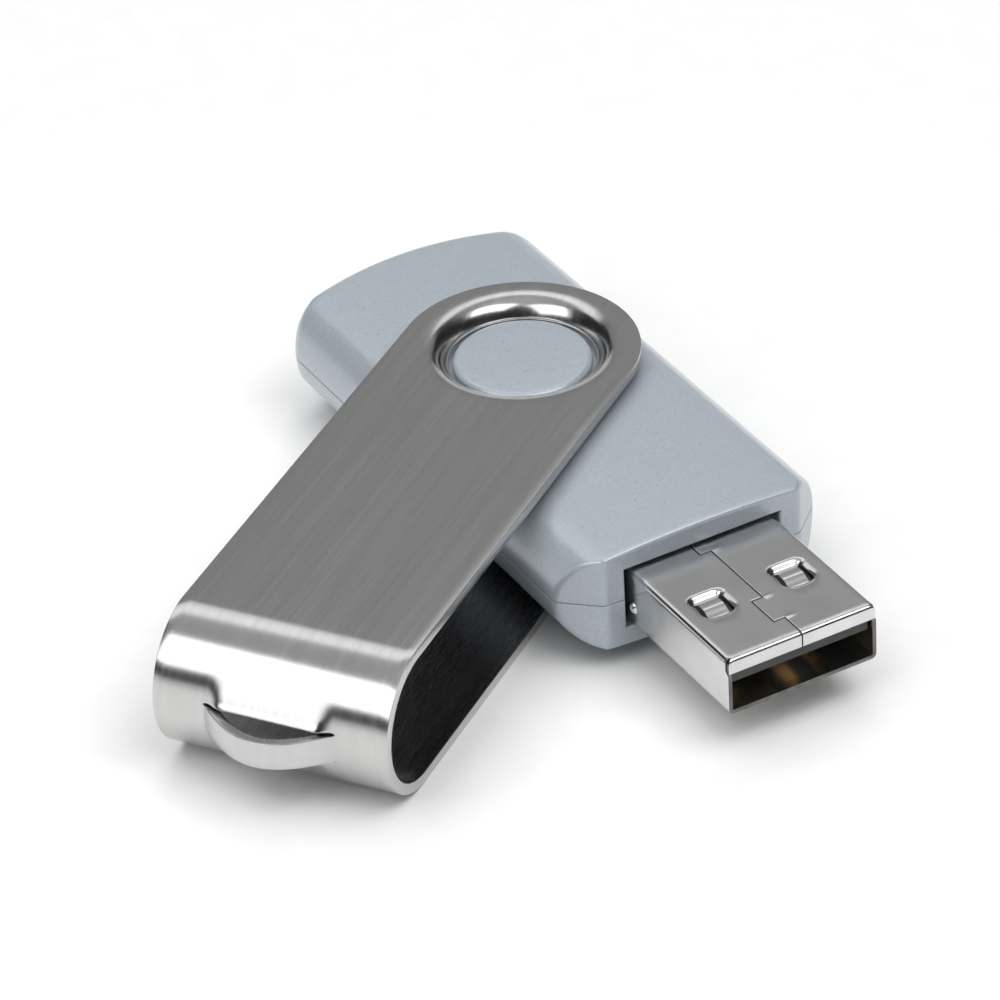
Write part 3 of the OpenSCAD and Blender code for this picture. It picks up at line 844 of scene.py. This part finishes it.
def pivot_part(points, faces, side):
    """One end of the sheet: rings round the hole that blend into the rounded outline."""
    centre = COVER_HALF - COVER_TAIL
    side_steps, turn_steps = 12, 40
    edge = [(GRID_EDGE, v) for v in cross_stations()]
    straight = [GRID_EDGE + (centre - GRID_EDGE) * i / side_steps for i in range(1, side_steps + 1)]
    edge += [(u, COVER_HALF) for u in straight]
    turn = [math.pi / 2 + math.pi * i / turn_steps for i in range(1, turn_steps)]
    edge += [(centre + COVER_HALF * math.cos(a), COVER_HALF * math.sin(a)) for a in turn]
    edge += [(u, -COVER_HALF) for u in reversed(straight)]
    inner, outer = DISH_RADII
    steps, crowding = 22, 1.6
    radii = [HOLE_R, (HOLE_R + inner) / 2]
    radii += [inner + (outer - inner) * (i / steps) ** crowding for i in range(steps + 1)]
    radii.append(outer + 0.2)
    rings = []
    for r in radii:
        rings.append([(r * u / math.hypot(u, v), r * v / math.hypot(u, v)) for u, v in edge])
    widest = rings[-1]
    for t in (0.25, 0.5, 0.75, 1.0):
        rings.append([(a[0] * (1 - t) + b[0] * t, a[1] * (1 - t) + b[1] * t) for a, b in zip(widest, edge)])
    first = len(points)
    for ring in rings:
        for u, v in ring:
            points.append(fold(-side * (HALF_PATH - u), v, dish_depth(math.hypot(u, v))))
    n = len(edge)
    for i in range(len(rings) - 1):
        for j in range(n):
            a, b = first + i * n + j, first + i * n + (j + 1) % n
            quad = (a, b, b + n, a + n)
            faces.append(quad if side > 0 else quad[::-1])


def thin_flange(piece):
    """A vertex group that says how much of the sheet's thickness each point keeps."""
    group = piece.vertex_groups.new(name="thickness")
    for vertex in piece.data.vertices:
        t = dish_run(math.hypot(vertex.co.x, vertex.co.y))
        group.add([vertex.index], 0.5 + 0.5 * t, "REPLACE")


def aim_outwards(piece):
    """Turns the open sheet's faces away from the inside of the fold."""
    bm = bmesh.new()
    bm.from_mesh(piece.data)
    bmesh.ops.recalc_face_normals(bm, faces=bm.faces)
    bm.faces.ensure_lookup_table()
    highest = max(bm.faces, key=lambda f: f.calc_center_median().z)
    if highest.normal.z < 0:
        bmesh.ops.reverse_faces(bm, faces=bm.faces)
    bm.to_mesh(piece.data)
    bm.free()


def make_cover():
    """The folded steel cover; its inner face is a darker copy of the same steel, as painted shade inside
    the fold.
    """
    points, faces = [], []
    strip_part(points, faces)
    pivot_part(points, faces, 1)
    pivot_part(points, faces, -1)
    sheet = make_piece("cover", points, faces)
    aim_outwards(sheet)
    thin_flange(sheet)
    finishes = [FINISHES["cover_steel"], FINISHES["cover_inside_painted_shade"]]
    for finish in finishes:
        sheet.data.materials.append(finish)
    # inner=1 gives the inner face the darker steel, which is painted shade
    thicken(sheet, COVER_SHEET, inner=1, group="thickness")
    round_edges(sheet, 0.12, segments=3, angle=55)
    bake_modifiers(sheet)
    sheet.data.transform(Matrix.Rotation(COVER_TURN, 4, "Z"))
    place_piece(sheet, "swivel_cover_sheet", "cover", ["swivel_cover"], finishes, sharp=40)


# ------------------------------------------------------------------ plug

def window_distance(x, y):
    """Distance to the nearer window's rounded outline; its front edge bows forward."""
    r = 0.45
    front_bow = 0.18
    centre = (WINDOW_X[0] + WINDOW_X[1]) / 2
    half = (WINDOW_X[1] - WINDOW_X[0]) / 2
    across = abs(abs(y) - WINDOW_Y)
    bow = front_bow * max(1 - (across / WINDOW_HALF) ** 2, 0) if x > centre else 0
    dx = abs(x - centre) - half - bow + r
    dy = across - WINDOW_HALF + r
    return math.hypot(max(dx, 0), max(dy, 0)) + min(max(dx, dy), 0) - r


def window_sink(x, y):
    """How far the sheet is pressed down around a window and along its tab."""
    roll = 0.42
    gap = window_distance(x, y)
    if gap > roll:
        return 0.0
    along = x - WINDOW_X[0]
    front_lip, rear_lip = 0.14, 0.38
    lip = front_lip + (rear_lip - front_lip) * smooth(1 - along / 0.5)
    if gap > 0:
        return lip * (1 - gap / roll) ** 2
    valley, crest, tip_drop = 0.4, 0.17, 0.34
    tab = crest + (valley - crest) * smooth(1 - (along - 0.15) / 0.45)
    tab += tip_drop * smooth((along - 1.1) / 1.0)
    share = smooth(-gap / 0.12)
    return lip * (1 - share) + tab * share


def perimeter():
    """(y, z, face) points round the plug's outside; face is top, side or bottom.

    The top's points are close together over the windows and along both lines of the seam.
    """
    fine_steps = 28
    fine = [WINDOW_Y + WINDOW_REACH * (2 * i / fine_steps - 1) for i in range(fine_steps + 1)]
    between = [-1.1, -0.55, -0.35, 0.2, 0.5, 0.9, 1.2]
    ys = fine + [-y for y in fine] + between
    ys += [side * y for side in (-1, 1) for y in (5.15, 5.3, PLUG_FLAT_Y)]
    ys += [line + d for line in (0.0, JOG_Y) for d in SEAM_LINES]
    ys = sorted(set(round(y, 4) for y in ys), reverse=True)
    top = [(y, PLUG_HALF_Z, "top") for y in ys]
    corner = [math.radians(15 * i) for i in range(1, 6)]
    turns = [(PLUG_CORNER * math.sin(a), PLUG_CORNER * math.cos(a)) for a in corner]
    near = [(-PLUG_FLAT_Y - out, PLUG_FLAT_Z + up, "side") for out, up in turns]
    near += [(-PLUG_HALF, PLUG_FLAT_Z * (1 - i / 6), "side") for i in range(13)]
    near += [(-PLUG_FLAT_Y - up, -PLUG_FLAT_Z - out, "side") for out, up in turns]
    low = [WINDOW_Y + d for d in (-WINDOW_REACH, -1.45, -1.2, -0.9, 0, 0.9, 1.2, 1.45, WINDOW_REACH)]
    low_ys = sorted([-y for y in low] + [-0.8, 0, 0.8] + low + [-PLUG_FLAT_Y, PLUG_FLAT_Y])
    bottom = [(y, -PLUG_HALF_Z, "bottom") for y in low_ys]
    far = [(-y, z, face) for y, z, face in reversed(near)]
    return top + near + bottom + far


def plug_rows():
    """Stations along the plug up to the start of the front bend, close together at the windows."""
    rows = [PLUG_REAR + 1.1 * i for i in range(6)]
    rows += [WINDOW_X[0] - 0.55 + 0.125 * i for i in range(26)]
    rows += [PLUG_TIP - d for d in (11.1, 10, 8.9, 4.5, 3.8, 3.1, 2.6, 1.8, 1.2, 0.7, FLAP_BEND)]
    rows += [jog + d for jog in JOG_X for d in SEAM_LINES]
    rows = sorted(rows)
    keep = [rows[0]]
    jogs = [jog + d for jog in JOG_X for d in (-SEAM_GAP, SEAM_GAP)]
    nearest = 0.06
    for x in rows[1:]:
        close = x - keep[-1] < nearest
        if not close or x in jogs:
            if close and keep[-1] not in jogs:
                keep.pop()
            keep.append(x)
    return keep


def on_seam(x, y):
    """True in the narrow gap where the two edges of the rolled sheet meet."""
    step = JOG_Y
    runs = [(PLUG_REAR - 1, JOG_X[0], step), (JOG_X[0], JOG_X[1], 0), (JOG_X[1], JOG_X[2], step),
            (JOG_X[2], PLUG_TIP + 5, 0)]
    for start, end, line in runs:
        if start - SEAM_GAP < x < end + SEAM_GAP and abs(y - line) < SEAM_GAP:
            return True
    return any(abs(x - jog) < SEAM_GAP and step - SEAM_GAP < y < SEAM_GAP for jog in JOG_X)


def tick_rise(x, y):
    """Small burrs that carry on past the outer corners of the seam."""
    past = 0.05 < y < 0.6
    return 0.025 if past and any(abs(x - jog) < 2 * SEAM_GAP for jog in JOG_X) else 0.0


def plug_point(rows, i, y, z, face):
    """Where a point of the outline lies at row i; past the last row the top bends down as a flap."""
    if i < len(rows):
        sink = window_sink(rows[i], y) - tick_rise(rows[i], y) if face == "top" else 0
        return (rows[i], y, MID_Z + z - sink)
    k = i - len(rows) + 1
    share = min(k, FLAP_BEND_STEPS) / FLAP_BEND_STEPS
    if face != "top":
        behind = FLAP_BEND if z > PLUG_HALF_Z - FLAP_DROP - 0.1 else 0
        return (PLUG_TIP - FLAP_BEND * (1 - share) - behind * share, y, MID_Z + z)
    a = math.pi / 2 * share
    drop = (FLAP_DROP - FLAP_BEND) * max(k - FLAP_BEND_STEPS, 0) / FLAP_DROP_STEPS
    x = PLUG_TIP - FLAP_BEND * (1 - math.sin(a))
    return (x, y * (1 + FLAP_FLARE * share), PLUG_TOP - FLAP_BEND * (1 - math.cos(a)) - drop)


def sheet_covers(rows, i, a, b):
    """False where the seam, the flap's free edges or the open mouth leave the sheet out."""
    tops = [a[2], b[2]].count("top")
    y = (a[0] + b[0]) / 2
    last = len(rows) - 1
    if i < last:
        return tops < 2 or not on_seam((rows[i] + rows[i + 1]) / 2, y)
    if tops == 2:
        return not on_seam(PLUG_TIP, y) and abs(y) <= PLUG_FLAT_Y - 0.05
    return tops == 0 and i < last + FLAP_BEND_STEPS


def plug_sheet():
    """The outer face of the rolled plug shell, with its seam, windows and front flap."""
    ring = perimeter()
    rows = plug_rows()
    total = len(rows) + FLAP_BEND_STEPS + FLAP_DROP_STEPS
    points = [plug_point(rows, i, *place) for i in range(total) for place in ring]
    n = len(ring)
    faces = []
    for i in range(total - 1):
        for j in range(n):
            k = (j + 1) % n
            if sheet_covers(rows, i, ring[j], ring[k]):
                faces.append((i * n + j, (i + 1) * n + j, (i + 1) * n + k, i * n + k))
    return make_piece("plug", points, faces)


def window_gap_tool(side):
    """A U-shaped prism that frees the tab from the window's sides and front."""
    steps = 10
    front_gap, corner_cut = 0.12, 0.4
    front = []
    for i in range(steps + 1):
        across = WINDOW_HALF * (1 - 2 * i / steps)
        square = (abs(across) / WINDOW_HALF) ** 4
        front.append((WINDOW_X[1] + front_gap - corner_cut * square, across))
    tab_half = 0.82
    tab_front = WINDOW_X[1] - 0.18
    start = WINDOW_X[0] + 0.25
    outline = [(start, WINDOW_HALF)] + front + [(start, -WINDOW_HALF), (start, -tab_half)]
    outline += [(tab_front, -tab_half), (tab_front, tab_half), (start, tab_half)]
    return prism_piece([(x, side * WINDOW_Y + y) for x, y in outline], PLUG_TOP - 1.2, PLUG_TOP + 0.5)


def side_bump():
    """The small round bump pressed out of the shell's side where it leaves the casing."""
    steps = 6
    reach = math.acos(1 - BUMP_RISE / BUMP_R)
    turns = [reach * i / steps for i in range(steps, -1, -1)]
    cap = [(BUMP_R * math.sin(a), BUMP_RISE - BUMP_R * (1 - math.cos(a))) for a in turns]
    foot = -PLUG_SHEET / 2
    bump = turned_piece([(0, foot), (cap[0][0], foot)] + cap, steps=24)
    place = Matrix.Translation((BUMP[0], -PLUG_HALF, BUMP[1]))
    bump.data.transform(place @ Matrix.Rotation(math.pi / 2, 4, "X"))
    return bump


def leg_pieces():
    """A leg on each side that goes through the board, and the arm that carries it."""
    into_shell = 0.1
    pieces = []
    for side in (-1, 1):
        low_y, high_y = sorted((side * (PLUG_HALF - PLUG_SHEET), side * PLUG_HALF))
        low = (LEG_X[0], low_y, ARM_Z[0])
        pieces.append(box_piece(low, (LEG_X[1], high_y, LEG_TOP)))
        pieces.append(box_piece(low, (PLUG_REAR + into_shell, high_y, ARM_Z[1])))
    return pieces


def make_plug():
    """The plug's rolled steel shell; its cut edges are painted dark grey as painted shade in the seam gap
    and under the flap.
    """
    shell = plug_sheet()
    aim_outwards(shell)
    finishes = [FINISHES["plug_steel"], FINISHES["plug_edge_painted_shade"]]
    for finish in finishes:
        shell.data.materials.append(finish)
    # rim=1 paints the cut edges dark grey, which is painted shade
    thicken(shell, PLUG_SHEET, rim=1)
    round_edges(shell, 0.05, segments=2, angle=60)
    bake_modifiers(shell)
    tidy_mesh(shell)
    for side in (-1, 1):
        combine(shell, window_gap_tool(side), "DIFFERENCE")
        low = (WINDOW_X[0], side * WINDOW_Y - WINDOW_HALF, PLUG_BOTTOM - 0.8)
        high = (WINDOW_X[1], side * WINDOW_Y + WINDOW_HALF, PLUG_BOTTOM + 0.7)
        combine(shell, box_piece(low, high), "DIFFERENCE")
    for piece in [side_bump()] + leg_pieces():
        combine(shell, piece, "UNION")
    place_piece(shell, "plug_shell_sheet", "drive", ["plug_shell"], finishes, sharp=40)


# ------------------------------------------------------- carried-over parts

def finish_nodes():
    """Gives every CAD node that stays its finish and a fine rounding on its edges."""
    looks = {
        "plug_insulator": ("insulator_plastic", 0.06),
        "contact_power": ("contact_gold", 0.05),
        "contact_data_minus": ("contact_gold", 0.05),
        "contact_data_plus": ("contact_gold", 0.05),
        "contact_ground": ("contact_gold", 0.05),
        "circuit_board": ("board_green", 0.04),
        "controller_chip": ("chip_black", 0.06),
        "controller_leads": ("lead_tin", 0.02),
        "flash_memory_chip": ("chip_black", 0.06),
        "flash_memory_leads": ("lead_tin", 0.02),
        "crystal_oscillator": ("crystal_metal", 0.08),
        "activity_led": ("led_clear", 0.04),
        "ferrite_bead": ("ferrite_grey", 0.05),
        "capacitors": ("capacitor_tan", 0.04),
        "resistors": ("resistor_black", 0.04),
        "contact_solder_joints": ("solder", 0.05),
        "shell_solder_joints": ("solder", 0.06),
    }
    for name, (finish, rounding) in looks.items():
        node = frame["nodes"][name]
        for slot in node.material_slots:
            slot.material = FINISHES[finish]
        round_edges(node, rounding * MM, segments=2, angle=40)


bpy.context.scene.view_settings.view_transform = "Standard"
make_camera()
make_room()
make_softbox("front_left", azimuth=-77, elevation=42, distance=0.6, size=(0.44, 0.4), radiance=2.3)
make_softbox("front_right", azimuth=22, elevation=57, distance=0.6, size=(0.44, 0.28), radiance=3.0)
make_softbox("back_top", azimuth=165, elevation=54, distance=0.8, size=(0.9, 0.26), radiance=1.1)
make_softbox("backdrop", azimuth=150, elevation=32, distance=1.0, size=(1.1, 0.3), radiance=0.28)
make_softbox("far_wall", azimuth=152, elevation=14, distance=1.0, size=(0.6, 0.2), radiance=0.75)
make_softbox("ceiling", azimuth=0, elevation=90, distance=0.8, size=(1.0, 1.0), radiance=1.65,
             reflected=False)
make_floor()
make_casing("upper_casing", True)
make_casing("lower_casing", False)
make_cover()
make_plug()
finish_nodes()
